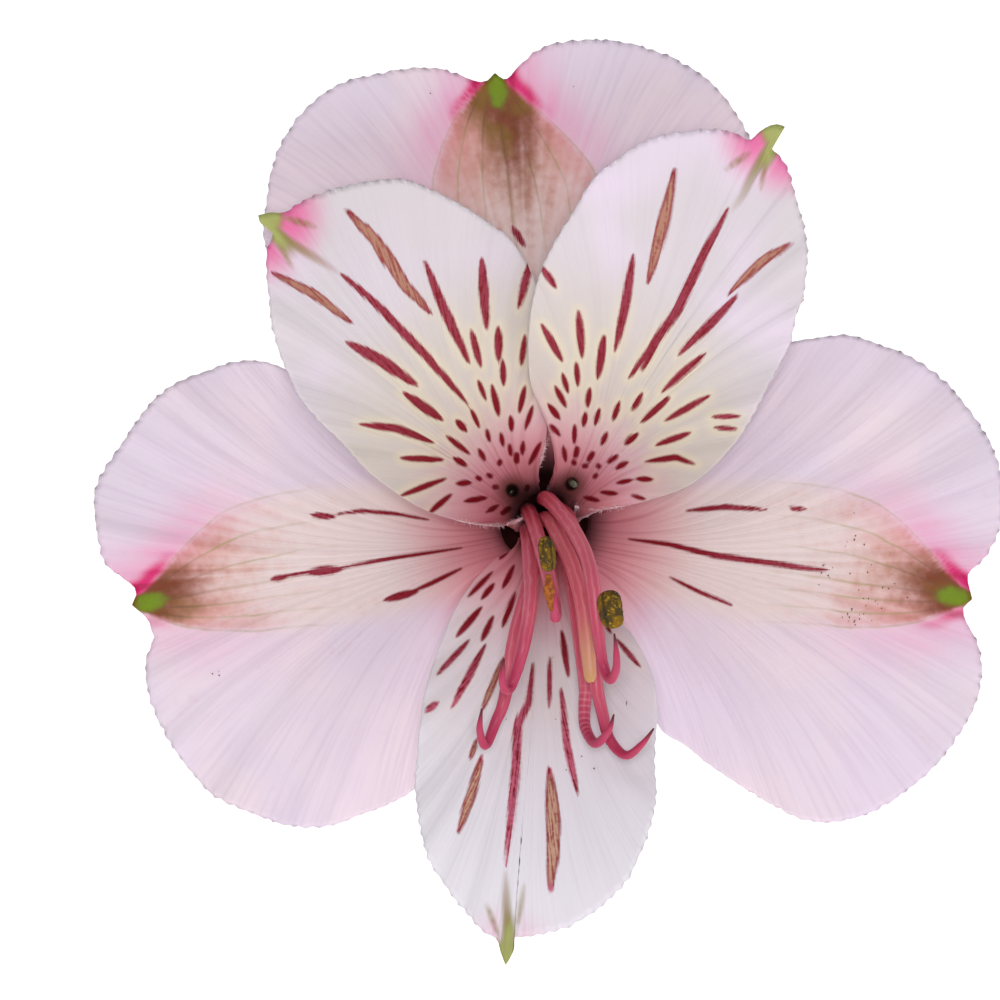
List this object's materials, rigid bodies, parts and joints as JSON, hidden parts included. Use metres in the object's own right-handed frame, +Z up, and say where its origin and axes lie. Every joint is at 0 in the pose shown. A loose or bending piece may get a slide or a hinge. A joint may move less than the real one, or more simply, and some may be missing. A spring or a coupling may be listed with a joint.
{
  "type": "alstroemeria stem",
  "caption": "Cut alstroemeria stem lying down: an open lilac and cream bloom with red-streaked inner tepals, rose stamens, a green ovary, pedicel and leafy stem.",
  "frame": {"origin": "on the surface that the stem lies on, under the middle of the whole object's box", "axes": "+Z is up, +Y runs along the stem towards its cut end, and -Y is where the bloom looks, 25 degrees above level"},
  "size_m": [0.0636, 0.153, 0.0544],
  "materials": {
    "outer_tepal": "satin living petal, lilac with magenta flares and a green-brown tip",
    "inner_tepal": "satin living petal, cream white with dark red streaks and a pink claw",
    "stamen": "moist rose-red filament",
    "anther": "matt olive pollen",
    "green_stem": "smooth waxy green stem",
    "leaf": "satin green leaf with parallel veins"
  },
  "bodies": {
    "root": {"outer_tepal_top": "outer_tepal", "outer_tepal_left": "outer_tepal", "outer_tepal_right": "outer_tepal", "inner_tepal_upper_left": "inner_tepal", "inner_tepal_upper_right": "inner_tepal", "inner_tepal_bottom": "inner_tepal", "filament_front_right": "stamen", "filament_centre": "stamen", "filament_front_left": "stamen", "filament_back_left": "stamen", "filament_back_centre": "stamen", "filament_back_right": "stamen", "style": "stamen", "anther_right": "anther", "anther_centre": "anther", "ovary": "green_stem", "pedicel": "green_stem", "stem": "green_stem", "bract_top": "leaf", "bract_left": "leaf", "bract_right": "leaf", "leaf_lower_left": "leaf", "leaf_lower_right": "leaf", "leaf_upper_left": "leaf", "leaf_upper_right": "leaf"}
  },
  "joints": []
}
